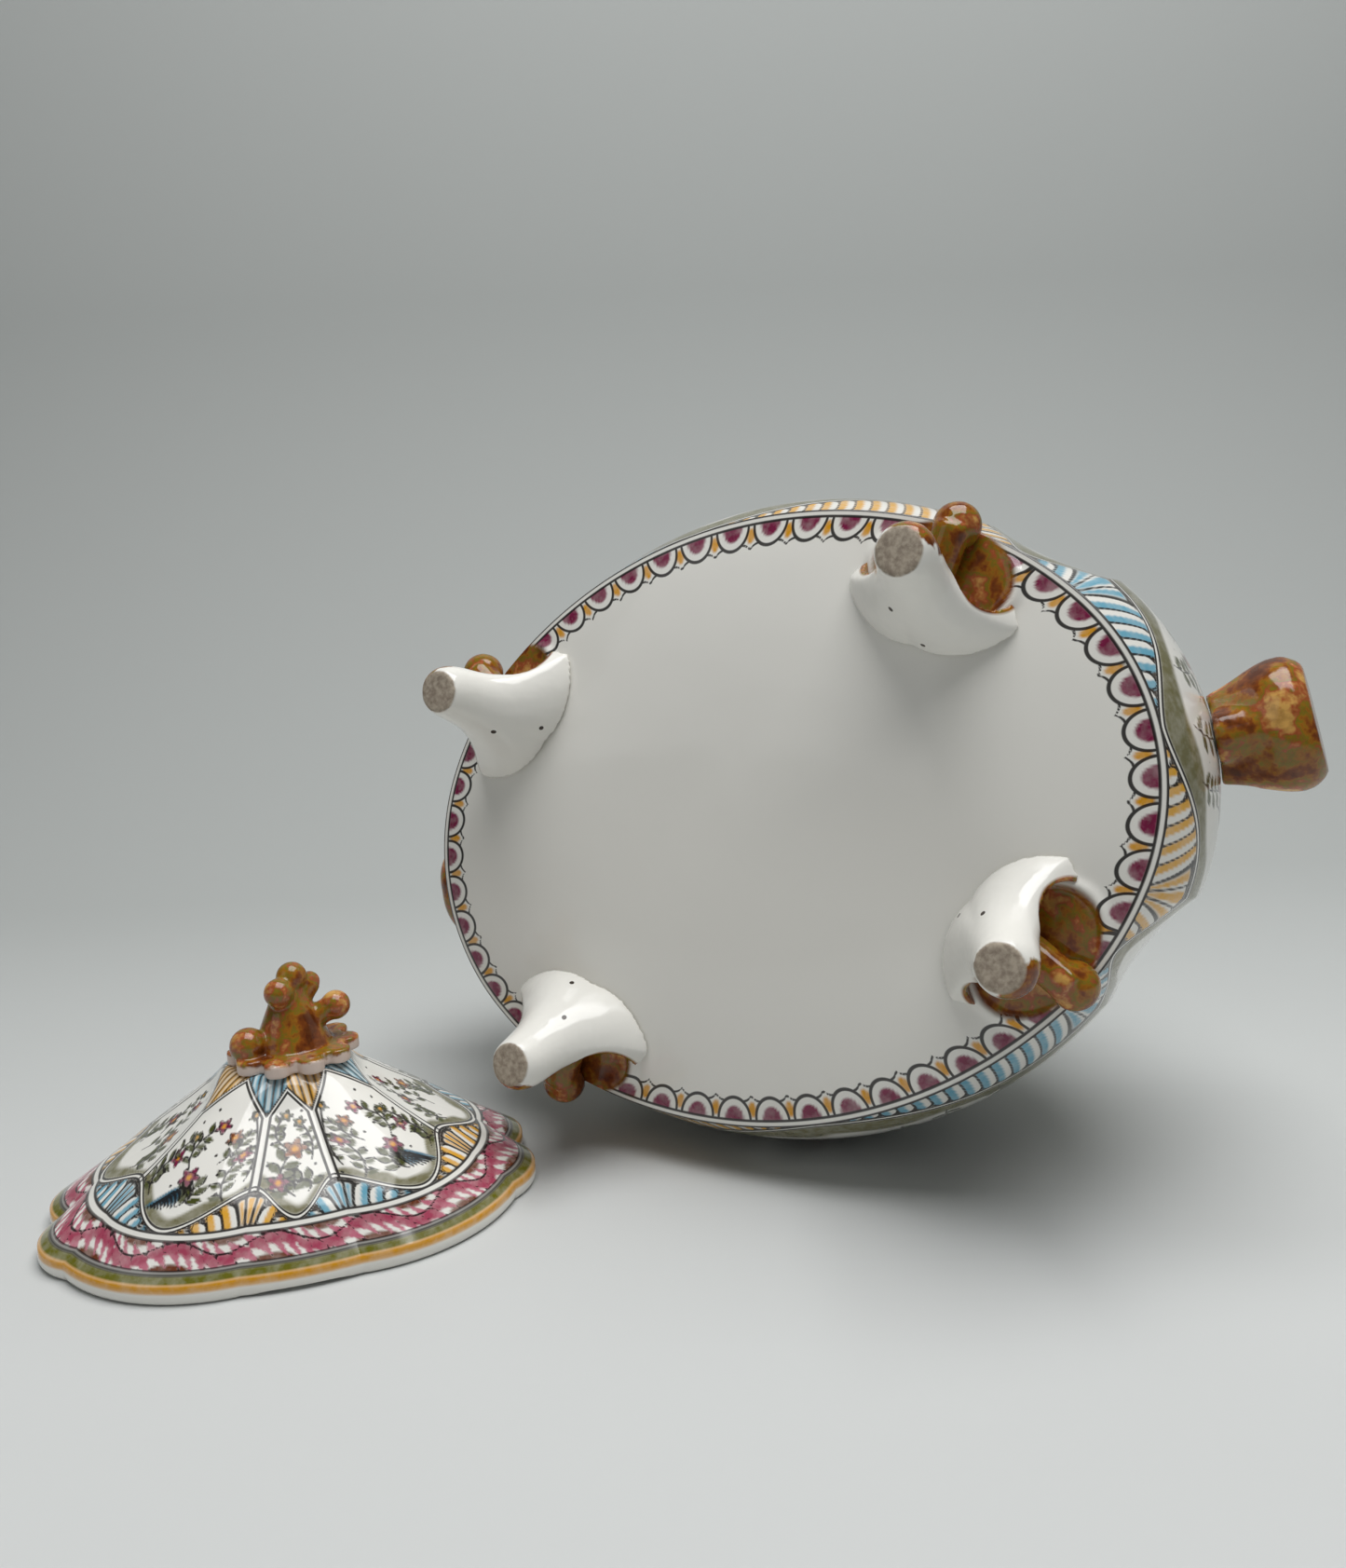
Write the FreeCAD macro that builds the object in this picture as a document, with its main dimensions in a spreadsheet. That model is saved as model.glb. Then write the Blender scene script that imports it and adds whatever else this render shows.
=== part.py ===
import FreeCAD, Part
import math
import os
import Sketcher

# Covered tureen of glazed earthenware, in millimetres, laid out for a look at its underside: the bowl
# lies on its side on a table with its four scroll feet towards the front, and the domed lid stands on
# its rim beside it. Each piece is built upright in the frame of the bowl or the lid, then laid in place.

# Driving dimensions, one sheet cell each. A level is a height, a half length and a half width.
SIZES = [
    # Outside of the bowl, from the middle of its underside up to the lip of the mouth.
    ("under_height", -7.0), ("under_half_length", 60.0), ("under_half_width", 45.0),
    ("heel_height", -4.4), ("heel_half_length", 108.0), ("heel_half_width", 81.0),
    ("ring_height", 0.0), ("ring_half_length", 139.0), ("ring_half_width", 106.0),
    ("swell_height", 16.0), ("swell_half_length", 145.5), ("swell_half_width", 113.5),
    ("belly_height", 40.0), ("belly_half_length", 148.5), ("belly_half_width", 118.0),
    ("wall_height", 74.0), ("wall_half_length", 144.0), ("wall_half_width", 114.0),
    ("shoulder_height", 110.0), ("shoulder_half_length", 126.5), ("shoulder_half_width", 98.0),
    ("crown_height", 135.0), ("crown_half_length", 97.0), ("crown_half_width", 74.0),
    ("neck_height", 147.0), ("neck_half_length", 72.5), ("neck_half_width", 54.5),
    ("lip_height", 158.0), ("lip_half_length", 71.0), ("lip_half_width", 53.0),
    # Wall and floor of the bowl, and the eight ridges of its plan.
    ("bowl_wall", 6.5), ("floor_thickness", 8.0), ("floor_inset", 24.0),
    ("end_ridge_angle", 27.0), ("foot_ridge_angle", 47.5), ("hollow_angle", 37.5),
    ("foot_ridge_inset", 5.0), ("hollow_depth", 7.5), ("cut_over", 3.0),
    # Scroll feet: the flank from its wide root to the ground pad.
    ("foot_drop", 46.0),
    ("root_rise", 6.0), ("root_reach", 0.0), ("root_half_width", 30.0), ("root_half_depth", 16.0),
    ("hip_drop", 10.0), ("hip_reach", -0.5), ("hip_half_width", 26.0), ("hip_half_depth", 13.5),
    ("knee_drop", 22.0), ("knee_reach", 2.0), ("knee_half_width", 15.5), ("knee_half_depth", 10.5),
    ("toe_drop", 34.5), ("toe_reach", 8.5), ("toe_half_width", 10.5), ("toe_half_depth", 10.5),
    ("pad_reach", 10.0), ("pad_half_width", 7.5), ("pad_half_depth", 7.5),
    # Scroll feet: the scoop in the outer face, and the knop on its arm.
    ("scoop_reach", 11.0), ("scoop_drop", 6.0), ("scoop_half_width", 26.0), ("scoop_half_depth", 18.0),
    ("scoop_half_height", 18.0),
    ("knop_reach", 25.5), ("knop_drop", 4.0), ("knop_radius", 8.0), ("arm_drop", 8.0), ("arm_radius", 6.2),
    # Place of each foot on the underside, along and across the bowl, and the way it turns outwards.
    ("front_right_along", 81.5), ("front_right_across", 51.5), ("front_right_turn", 51.0),
    ("back_right_along", 79.5), ("back_right_across", 56.0), ("back_right_turn", 57.2),
    ("back_left_along", 84.5), ("back_left_across", 59.5), ("back_left_turn", 54.0),
    ("front_left_along", 82.5), ("front_left_across", 57.5), ("front_left_turn", 58.0),
    # Bed of slip that holds each foot and handle off the bowl.
    ("slip_bed", 0.3),
    # Lug handles on the ends.
    ("handle_height", 56.0), ("handle_shift", 4.0),
    ("handle_root", 134.0), ("handle_root_half", 22.0), ("handle_root_thick", 15.0),
    ("handle_waist", 157.0), ("handle_waist_half", 19.0), ("handle_waist_thick", 11.5),
    ("handle_flare", 171.5), ("handle_flare_half", 22.5), ("handle_flare_thick", 15.5),
    ("handle_end", 178.0), ("handle_end_half", 18.0), ("handle_end_thick", 11.0),
    ("boss_radius", 9.0), ("boss_end", 161.0), ("boss_drop", 7.0),
    # Outside of the lid, from its standing edge up to the seat of the finial. At each level the notch and
    # the tip are insets from the plain oval at and beside the long axis, and the lobe is a swell.
    ("edge_height", 1.6), ("edge_inset", 1.3),
    ("rim_height", 6.5), ("rim_half_length", 84.3), ("rim_half_width", 63.5),
    ("rim_notch", 5.0), ("rim_tip", -1.0), ("rim_lobe", 3.0),
    ("brim_height", 12.5), ("brim_half_length", 76.0), ("brim_half_width", 58.0),
    ("brim_notch", 4.0), ("brim_tip", 0.0), ("brim_lobe", 3.4),
    ("band_height", 19.0), ("band_half_length", 67.5), ("band_half_width", 53.0),
    ("band_notch", 3.5), ("band_tip", 2.0), ("band_lobe", 4.0),
    ("dome_height", 31.0), ("dome_half_length", 49.0), ("dome_half_width", 40.0),
    ("dome_notch", 6.5), ("dome_tip", 5.0), ("dome_lobe", 5.2),
    ("peak_height", 43.0), ("peak_half_length", 32.0), ("peak_half_width", 26.0),
    ("peak_notch", 5.5), ("peak_tip", 4.0), ("peak_lobe", 3.6),
    ("seat_height", 53.0), ("seat_half_length", 19.5), ("seat_half_width", 17.0),
    ("seat_notch", 0.0), ("seat_tip", 0.0), ("seat_lobe", 0.0),
    # Wall of the lid, the angles of its ribs, and the arch under each long side.
    ("lid_wall", 5.0), ("lid_top_wall", 7.0),
    ("lid_tip_angle", 13.0), ("lid_end_rib_angle", 30.0), ("lid_lobe_angle", 54.0),
    ("lid_side_rib_angle", 77.0),
    ("arch_half_width", 20.0), ("arch_rise", 1.6),
    # Branch finial on the lid: its scalloped foot, its trunk and the bulb at the end of each branch.
    ("finial_foot_radius", 18.0), ("finial_foot_height", 5.0), ("scallop_radius", 4.4), ("scallop_count", 10),
    ("trunk_radius", 15.5), ("trunk_top_radius", 5.0), ("trunk_height", 25.0), ("branch_radius", 4.2),
    ("top_side", 1.5), ("top_back", 0.0), ("top_rise", 28.7), ("top_radius", 5.3),
    ("upper_side", -3.0), ("upper_back", -5.0), ("upper_rise", 25.0), ("upper_radius", 5.2),
    ("twin_side", 7.2), ("twin_back", 3.0), ("twin_rise", 25.2), ("twin_radius", 3.8),
    ("stalk_side", 15.4), ("stalk_back", 0.0), ("stalk_rise", 16.5), ("stalk_radius", 5.2),
    ("lower_side", -14.7), ("lower_back", -6.0), ("lower_rise", 8.0), ("lower_radius", 6.3),
    ("rear_side", 2.0), ("rear_back", 11.0), ("rear_rise", 16.0), ("rear_radius", 4.8),
    # Lay-out on the table: turns of the bowl and the lid, and the lid's place beside the bowl.
    ("bowl_turn", 29.45), ("bowl_tip", 10.56), ("bowl_roll", 15.8),
    ("lid_turn", 16.5), ("lid_left", 167.6), ("lid_forward", 13.8), ("finial_side", 3.0),
]

# How strongly the ridges of the bowl show at each level, and the levels of the lid.
BOWL_LEVELS = [("ring", 0.0), ("swell", 0.6), ("belly", 1.0), ("wall", 1.0), ("shoulder", 0.8),
               ("crown", 0.3), ("neck", 0.0), ("lip", 0.0)]
LID_LEVELS = ("rim", "brim", "band", "dome", "peak", "seat")
BRANCHES = ("top", "upper", "twin", "stalk", "lower", "rear")
BRANCH_START = 0.6

doc = FreeCAD.newDocument("tureen")
sheet = doc.addObject("Spreadsheet::Sheet", "Sizes")
for row, (alias, value) in enumerate(SIZES, start=1):
    sheet.set(f"A{row}", alias)
    sheet.set(f"B{row}", str(value))
    sheet.setAlias(f"B{row}", alias)
doc.recompute()


def cell(alias):
    return f"Sizes.{alias}"


def number(expression):
    return float(sheet.evalExpression(expression))


def size(alias):
    return number(cell(alias))


def bind(thing, **expressions):
    # Ties properties to sheet expressions. A double underscore in a name stands for a dot.
    for name, expression in expressions.items():
        thing.setExpression(name.replace("__", "."), expression)
    return thing


# Outlines are closed runs of points given as sheet expressions. Even points are corners, and odd ones
# lie half way along the arc from one corner to the next.
def on_oval(half_length, half_width, angle, inset):
    return f"(({half_length})-({inset}))*cos({angle})", f"(({half_width})-({inset}))*sin({angle})"


def all_round(quarter):
    points = list(quarter)
    points += [(f"-({x})", y) for x, y in reversed(quarter[:-1])]
    points += [(f"-({x})", f"-({y})") for x, y in quarter[1:]]
    points += [(x, f"-({y})") for x, y in reversed(quarter[1:-1])]
    return points


def half_sizes(level, inset="0"):
    return f"{cell(level + '_half_length')}-({inset})", f"{cell(level + '_half_width')}-({inset})"


def bowl_outline(half_length, half_width, lobe):
    # Bowed ends and sides meet in ridges, with a hollowed corner between each pair of ridges.
    points = all_round([
        on_oval(half_length, half_width, "0", "0"),
        on_oval(half_length, half_width, cell("end_ridge_angle"), "0"),
        on_oval(half_length, half_width, cell("hollow_angle"), f"{cell('hollow_depth')}*{lobe}"),
        on_oval(half_length, half_width, cell("foot_ridge_angle"), f"{cell('foot_ridge_inset')}*{lobe}"),
        on_oval(half_length, half_width, "90", "0"),
    ])
    return points[1:] + points[:1]


def lid_outline(level, inset="0"):
    # A notch at each end, a small lobe on both sides of it, four wide lobes, and plain long sides.
    half_length, half_width = half_sizes(level, inset)
    return all_round([
        on_oval(half_length, half_width, "0", cell(f"{level}_notch")),
        on_oval(half_length, half_width, cell("lid_tip_angle"), cell(f"{level}_tip")),
        on_oval(half_length, half_width, cell("lid_end_rib_angle"), "0"),
        on_oval(half_length, half_width, cell("lid_lobe_angle"), f"-{cell(level + '_lobe')}"),
        on_oval(half_length, half_width, cell("lid_side_rib_angle"), "0"),
        on_oval(half_length, half_width, "90", "0"),
    ])


def oval_outline(half_length, half_width):
    return all_round([on_oval(half_length, half_width, angle, "0") for angle in ("0", "45", "90")])


def section(body, name, outline, offset, role="XY_Plane", right="0", up="0"):
    # A sketch of the outline, parallel to one of the body's origin planes.
    sketch = body.newObject("Sketcher::SketchObject", name)
    origin_plane = next(item for item in body.Origin.OriginFeatures if item.Role == role)
    sketch.AttachmentSupport = [(origin_plane, "")]
    sketch.MapMode = "FlatFace"
    bind(sketch, AttachmentOffset__Base__x=right, AttachmentOffset__Base__y=up,
         AttachmentOffset__Base__z=offset)
    spots = [FreeCAD.Vector(number(x), number(y), 0) for x, y in outline]
    arcs = []
    for i in range(0, len(spots), 2):
        start, middle, end = spots[i], spots[i + 1], spots[(i + 2) % len(spots)]
        arc = sketch.addGeometry(Part.Arc(start, middle, end), False)
        first = 1 if (sketch.getPoint(arc, 1) - start).Length < 1e-6 else 2
        bead = sketch.addGeometry(Part.Point(middle), True)
        arcs.append((arc, first, 3 - first, bead))
    for i, (arc, first, last, bead) in enumerate(arcs):
        following, joined, _, _ = arcs[(i + 1) % len(arcs)]
        sketch.addConstraint(Sketcher.Constraint("Coincident", arc, last, following, joined))
        sketch.addConstraint(Sketcher.Constraint("PointOnObject", bead, 1, arc))
        for target, end, spot in ((arc, first, 2 * i), (bead, 1, 2 * i + 1)):
            for kind, axis in (("DistanceX", 0), ("DistanceY", 1)):
                held = Sketcher.Constraint(kind, -1, 1, target, end, spots[spot][axis])
                sketch.setExpression(f"Constraints[{sketch.addConstraint(held)}]", outline[spot][axis])
    return sketch


def loft(body, name, sections, kind="PartDesign::AdditiveLoft", ruled=False):
    feature = body.newObject(kind, name)
    feature.Profile = sections[0]
    feature.Sections = sections[1:]
    feature.Ruled = ruled
    return feature


def turned(angle, x=0.0, y=0.0, z=0.0):
    return FreeCAD.Placement(FreeCAD.Vector(x, y, z), FreeCAD.Rotation(FreeCAD.Vector(0, 0, 1), angle))


def fused(name, shapes):
    fusion = doc.addObject("Part::MultiFuse", name)
    fusion.Shapes = shapes
    return fusion


def cut(name, base, tool):
    result = doc.addObject("Part::Cut", name)
    result.Base = base
    result.Tool = tool
    return result


def copy_of(name, source, placement):
    link = doc.addObject("App::Link", name)
    link.LinkedObject = source
    link.LinkPlacement = placement
    return link


# Bowl: the solid form of its outside, then the hollow taken out of it.
def bowl_form():
    body = doc.addObject("PartDesign::Body", "bowl_form")
    walls = []
    for level, lobe in BOWL_LEVELS:
        outline = bowl_outline(*half_sizes(level), lobe)
        walls.append(section(body, f"outside_{level}", outline, cell(f"{level}_height")))
    loft(body, "outside_wall", walls)
    underside = []
    for level in ("ring", "heel", "under"):
        outline = bowl_outline(*half_sizes(level), 0.0)
        underside.append(section(body, f"underside_{level}", outline, cell(f"{level}_height")))
    loft(body, "underside", underside)
    return body


def bowl_hollow():
    body = doc.addObject("PartDesign::Body", "bowl_hollow")
    floor_height = f"{cell('under_height')}+{cell('floor_thickness')}"
    floor_outline = bowl_outline(*half_sizes("ring", cell("floor_inset")), 0.0)
    inner = [section(body, "floor", floor_outline, floor_height)]
    for level, lobe in BOWL_LEVELS[1:]:
        outline = bowl_outline(*half_sizes(level, cell("bowl_wall")), lobe)
        inner.append(section(body, f"inside_{level}", outline, cell(f"{level}_height")))
    loft(body, "inside_wall", inner)
    mouth_outline = bowl_outline(*half_sizes("lip", cell("bowl_wall")), 0.0)
    mouth = body.newObject("PartDesign::Pad", "mouth")
    mouth.Profile = section(body, "mouth_outline", mouth_outline, cell("lip_height"))
    bind(mouth, Length=cell("cut_over"))
    return body


# Scroll foot: a wide flank that narrows to a toe with a ground pad, scooped out on its outer face, and a
# knop on a short arm. Its own frame has x outwards, y along the ring and z up from the ring's level.
def foot_form():
    flank = doc.addObject("PartDesign::Body", "foot_flank")
    sections = []
    for station, height in (("root", cell("root_rise")), ("hip", f"-{cell('hip_drop')}"),
                            ("knee", f"-{cell('knee_drop')}"), ("toe", f"-{cell('toe_drop')}"),
                            ("pad", f"-{cell('foot_drop')}")):
        outline = oval_outline(cell(f"{station}_half_depth"), cell(f"{station}_half_width"))
        sections.append(section(flank, f"foot_{station}", outline, height, right=cell(f"{station}_reach")))
    loft(flank, "foot_scroll", sections)
    scoop = doc.addObject("Part::Ellipsoid", "foot_scoop")
    bind(scoop, Radius1=cell("scoop_half_height"), Radius2=cell("scoop_half_depth"),
         Radius3=cell("scoop_half_width"))
    bind(scoop, Placement__Base__x=cell("scoop_reach"), Placement__Base__z=f"-{cell('scoop_drop')}")
    arm = doc.addObject("Part::Cylinder", "knop_arm")
    arm.Placement.Rotation = FreeCAD.Rotation(FreeCAD.Vector(0, 1, 0), 90)
    bind(arm, Radius=cell("arm_radius"), Height=f"{cell('knop_reach')}+{cell('root_half_depth')}/2",
         Placement__Base__x=f"-{cell('root_half_depth')}/2", Placement__Base__z=f"-{cell('arm_drop')}")
    knop = doc.addObject("Part::Sphere", "knop")
    knop.Placement.Rotation = FreeCAD.Rotation(FreeCAD.Vector(0, 1, 0), 90)
    bind(knop, Radius=cell("knop_radius"), Placement__Base__x=cell("knop_reach"),
         Placement__Base__z=f"-{cell('knop_drop')}")
    return fused("foot_form", [cut("foot_scooped", flank, scoop), arm, knop])


# Lug handle of the right end: a flared stump with a round boss on its lower side.
def handle_form():
    stump = doc.addObject("PartDesign::Body", "handle_stump")
    sections = []
    for station in ("root", "waist", "flare", "end"):
        outline = oval_outline(cell(f"handle_{station}_half"), cell(f"handle_{station}_thick"))
        sections.append(section(stump, f"handle_{station}", outline, cell(f"handle_{station}"), "YZ_Plane",
                                cell("handle_shift"), cell("handle_height")))
    loft(stump, "handle_flared", sections)
    boss_height = f"{cell('handle_height')}-{cell('boss_drop')}"
    boss = doc.addObject("Part::Cylinder", "handle_boss")
    boss.Placement.Rotation = FreeCAD.Rotation(FreeCAD.Vector(0, 1, 0), 90)
    bind(boss, Radius=cell("boss_radius"), Height=f"{cell('boss_end')}-{cell('handle_root')}",
         Placement__Base__x=cell("handle_root"), Placement__Base__y=cell("handle_shift"),
         Placement__Base__z=boss_height)
    nose = doc.addObject("Part::Sphere", "boss_nose")
    bind(nose, Radius=cell("boss_radius"), Placement__Base__x=cell("boss_end"),
         Placement__Base__y=cell("handle_shift"), Placement__Base__z=boss_height)
    return fused("handle_form", [stump, boss, nose])


# Lid: a rim, a brim and a lobed dome hollowed to an even wall, with a shallow arch under each long side.
def lid_body():
    body = doc.addObject("PartDesign::Body", "lid")
    outside = []
    for level in LID_LEVELS:
        outside.append(section(body, f"lid_{level}", lid_outline(level), cell(f"{level}_height")))
    loft(body, "lid_dome", outside)
    loft(body, "lid_rim", [
        section(body, "standing_edge", lid_outline("rim", cell("edge_inset")), "0"),
        section(body, "rim_foot", lid_outline("rim"), cell("edge_height")),
        section(body, "rim_head", lid_outline("rim"), cell("rim_height")),
    ], ruled=True)
    wall = cell("lid_wall")
    inside = [section(body, "lid_mouth", lid_outline("rim", wall), f"-{cell('cut_over')}")]
    for level in LID_LEVELS[:-1]:
        ceiling = f"{cell(level + '_height')}-{wall}"
        inside.append(section(body, f"lid_inside_{level}", lid_outline(level, wall), ceiling))
    inside.append(section(body, "lid_inside_seat", lid_outline("seat", wall),
                          f"{cell('seat_height')}-{cell('lid_top_wall')}"))
    loft(body, "lid_hollow", inside, "PartDesign::SubtractiveLoft", ruled=True)
    arch_end = cell("arch_half_width")
    arch_outline = [(f"-{arch_end}", "0"), ("0", f"-{cell('arch_rise')}"), (arch_end, "0"),
                    ("0", cell("arch_rise"))]
    arch = body.newObject("PartDesign::Pocket", "lid_arch")
    arch.Profile = section(body, "arch_outline", arch_outline, "0", "XZ_Plane")
    arch.Midplane = True
    bind(arch, Length=f"2*({cell('rim_half_width')}+{cell('cut_over')})")
    return body


# Finial: a scalloped foot, a tapering trunk and stub branches that end in bulbs.
def finial_form():
    foot = doc.addObject("Part::Cylinder", "finial_foot")
    bind(foot, Radius=cell("finial_foot_radius"), Height=cell("finial_foot_height"))
    trunk = doc.addObject("Part::Cone", "finial_trunk")
    bind(trunk, Radius1=cell("trunk_radius"), Radius2=cell("trunk_top_radius"), Height=cell("trunk_height"))
    pieces = [foot, trunk]
    for i in range(int(size("scallop_count"))):
        scallop = doc.addObject("Part::Cylinder", f"scallop_{i}")
        angle = f"{i}*360/{cell('scallop_count')}"
        bind(scallop, Radius=cell("scallop_radius"), Height=cell("finial_foot_height"),
             Placement__Base__x=f"{cell('finial_foot_radius')}*cos({angle})",
             Placement__Base__y=f"{cell('finial_foot_radius')}*sin({angle})")
        pieces.append(scallop)
    for name in BRANCHES:
        end = FreeCAD.Vector(size(f"{name}_side"), size(f"{name}_back"), size(f"{name}_rise"))
        start = FreeCAD.Vector(0, 0, BRANCH_START * end.z)
        stub = doc.addObject("Part::Cylinder", f"branch_{name}")
        stub.Height = (end - start).Length
        stub.Placement = FreeCAD.Placement(start, FreeCAD.Rotation(FreeCAD.Vector(0, 0, 1), end - start))
        bind(stub, Radius=cell("branch_radius"))
        bulb = doc.addObject("Part::Sphere", f"bulb_{name}")
        bind(bulb, Radius=cell(f"{name}_radius"), Placement__Base__x=cell(f"{name}_side"),
             Placement__Base__y=cell(f"{name}_back"), Placement__Base__z=cell(f"{name}_rise"))
        pieces += [stub, bulb]
    return fused("finial", pieces)


form = bowl_form()
bowl = cut("bowl", form, bowl_hollow())
on_bowl = [(bowl, FreeCAD.Placement())]
bed = size("slip_bed")
foot = foot_form()
for corner, along, across in (("front_right", 1, 1), ("back_right", 1, -1),
                              ("back_left", -1, -1), ("front_left", -1, 1)):
    outward = math.radians(size(f"{corner}_turn"))
    heading = math.degrees(math.atan2(across * math.sin(outward), along * math.cos(outward)))
    place = turned(heading, along * size(f"{corner}_along"), across * size(f"{corner}_across"))
    blank = copy_of(f"{corner}_blank", foot, place)
    off_ring = turned(0, bed * math.cos(math.radians(heading)), bed * math.sin(math.radians(heading)), -bed)
    on_bowl.append((cut(f"foot_{corner}", blank, form), off_ring))
handle = handle_form()
for name, heading in (("handle_right", 0), ("handle_left", 180)):
    blank = copy_of(f"{name}_blank", handle, turned(heading))
    off_end = turned(0, bed * math.cos(math.radians(heading)))
    on_bowl.append((cut(name, blank, form), off_end))
lid = lid_body()
finial = finial_form()
doc.recompute()

# Lay-out: the bowl tipped on its side with its underside to the front, the lid upright at its left,
# both on the table, and the frame's origin under the middle of the whole.
z_axis = FreeCAD.Vector(0, 0, 1)
tipped = FreeCAD.Rotation(FreeCAD.Vector(1, 0, 0), -90 - size("bowl_tip"))
lying = FreeCAD.Rotation(z_axis, -size("bowl_turn")) * tipped * FreeCAD.Rotation(z_axis, -size("bowl_roll"))
for piece, bedded in on_bowl:
    piece.Placement = FreeCAD.Placement(FreeCAD.Vector(), lying) * bedded
standing = turned(size("lid_turn"), -size("lid_left"), -size("lid_forward"))
lid.Placement = standing
finial.Placement = standing * turned(0, size("finial_side"), 0, size("seat_height"))


def close_box(pieces):
    box = FreeCAD.BoundBox()
    for piece in pieces:
        box.add(piece.Shape.optimalBoundingBox(False, False))
    return box


bowl_pieces = [piece for piece, bedded in on_bowl]
everything = bowl_pieces + [lid, finial]
rise = FreeCAD.Placement(FreeCAD.Vector(0, 0, -close_box(bowl_pieces).ZMin), FreeCAD.Rotation())
for piece in bowl_pieces:
    piece.Placement = rise * piece.Placement
around = close_box(everything)
centred = FreeCAD.Placement(FreeCAD.Vector(-around.Center.x, -around.Center.y, 0), FreeCAD.Rotation())
for piece in everything:
    piece.Placement = centred * piece.Placement
doc.recompute()

for item in doc.Objects:
    if "Invalid" in item.State or "Error" in item.State:
        raise RuntimeError(f"{item.Name} did not build: {item.State}")
os.makedirs("parts", exist_ok=True)
for piece in everything:
    piece.Label = piece.Name
    if piece.Shape.isNull() or not piece.Shape.isValid() or len(piece.Shape.Solids) != 1:
        raise RuntimeError(f"{piece.Label} is not one sound solid")
    piece.Shape.exportStep(f"parts/{piece.Label}.step")
    print(piece.Label, round(piece.Shape.Volume), "mm3 at", piece.Placement.Base)
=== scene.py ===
import math

import bmesh
import bpy
import numpy as np
from mathutils import Matrix, Vector


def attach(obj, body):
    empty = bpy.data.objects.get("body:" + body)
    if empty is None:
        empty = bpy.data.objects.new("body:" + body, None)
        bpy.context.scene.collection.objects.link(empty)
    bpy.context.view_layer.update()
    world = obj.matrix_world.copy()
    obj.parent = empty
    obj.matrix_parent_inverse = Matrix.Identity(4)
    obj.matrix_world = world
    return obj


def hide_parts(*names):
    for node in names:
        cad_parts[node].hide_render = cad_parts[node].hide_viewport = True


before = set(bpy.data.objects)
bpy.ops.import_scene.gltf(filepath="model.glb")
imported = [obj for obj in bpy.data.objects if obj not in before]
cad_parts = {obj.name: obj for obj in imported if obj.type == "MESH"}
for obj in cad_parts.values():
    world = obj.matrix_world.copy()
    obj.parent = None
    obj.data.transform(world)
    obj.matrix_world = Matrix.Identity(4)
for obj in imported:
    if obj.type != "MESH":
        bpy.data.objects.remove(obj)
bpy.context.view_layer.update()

# Hand-painted covered tureen of glazed earthenware: the bowl lies on its side with its white underside to
# the front and its lid stands beside it. Lengths in the tables and in the paint are millimetres.
MM = 0.001

# Outside of the bowl: height, half length, half width and how strongly the ridges show.
RING = (0.0, 139.0, 106.0, 0.0)
UNDERSIDE = [(-7.0, 0.0, 0.0, 0.0), (-7.0, 30.0, 22.5, 0.0), (-7.0, 60.0, 45.0, 0.0), (-4.4, 108.0, 81.0, 0.0),
             (-2.3, 125.0, 95.0, 0.0), (-0.8, 134.0, 102.1, 0.0), RING]
WALL = [RING, (16.0, 145.5, 113.5, 0.6), (40.0, 148.5, 118.0, 1.0), (74.0, 144.0, 114.0, 1.0),
        (110.0, 126.5, 98.0, 0.8), (135.0, 97.0, 74.0, 0.3), (147.0, 72.5, 54.5, 0.0), (158.0, 71.0, 53.0, 0.0)]
INSIDE = [(158.0, 64.5, 46.5, 0.0), (147.0, 66.0, 48.0, 0.0), (135.0, 90.5, 67.5, 0.3), (110.0, 120.0, 91.5, 0.8),
          (74.0, 137.5, 107.5, 1.0), (40.0, 142.0, 111.5, 1.0), (16.0, 139.0, 107.0, 0.6), (1.0, 115.0, 82.0, 0.0),
          (1.0, 0.0, 0.0, 0.0)]
UNDERSIDE_ROWS = (1, 1, 16, 10, 14, 8)
WALL_ROWS = (22, 20, 19, 22, 21, 12, 5)
INSIDE_ROWS = (1, 1, 1, 1, 1, 1, 2, 1)
LEVELS_TO_BELLY = 2

# Plan of the bowl: each arc runs from ridge to ridge by way of its middle, with its number of mesh steps and
# of painted scallops. The insets of a ridge or a hollow are in the first quarter's angles.
CORNER, END, FLANK = 3, 7, 13
BOWL_ARCS = [(27.0, 37.5, 47.5, 52, CORNER), (47.5, 90.0, 132.5, 222, FLANK), (132.5, 142.5, 153.0, 52, CORNER),
             (153.0, 180.0, 207.0, 128, END), (207.0, 217.5, 227.5, 52, CORNER), (227.5, 270.0, 312.5, 222, FLANK),
             (312.5, 322.5, 333.0, 52, CORNER), (333.0, 360.0, 387.0, 128, END)]
BOWL_INSETS = {0.0: 0.0, 27.0: 0.0, 37.5: 7.5, 47.5: 5.0, 90.0: 0.0}

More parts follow.
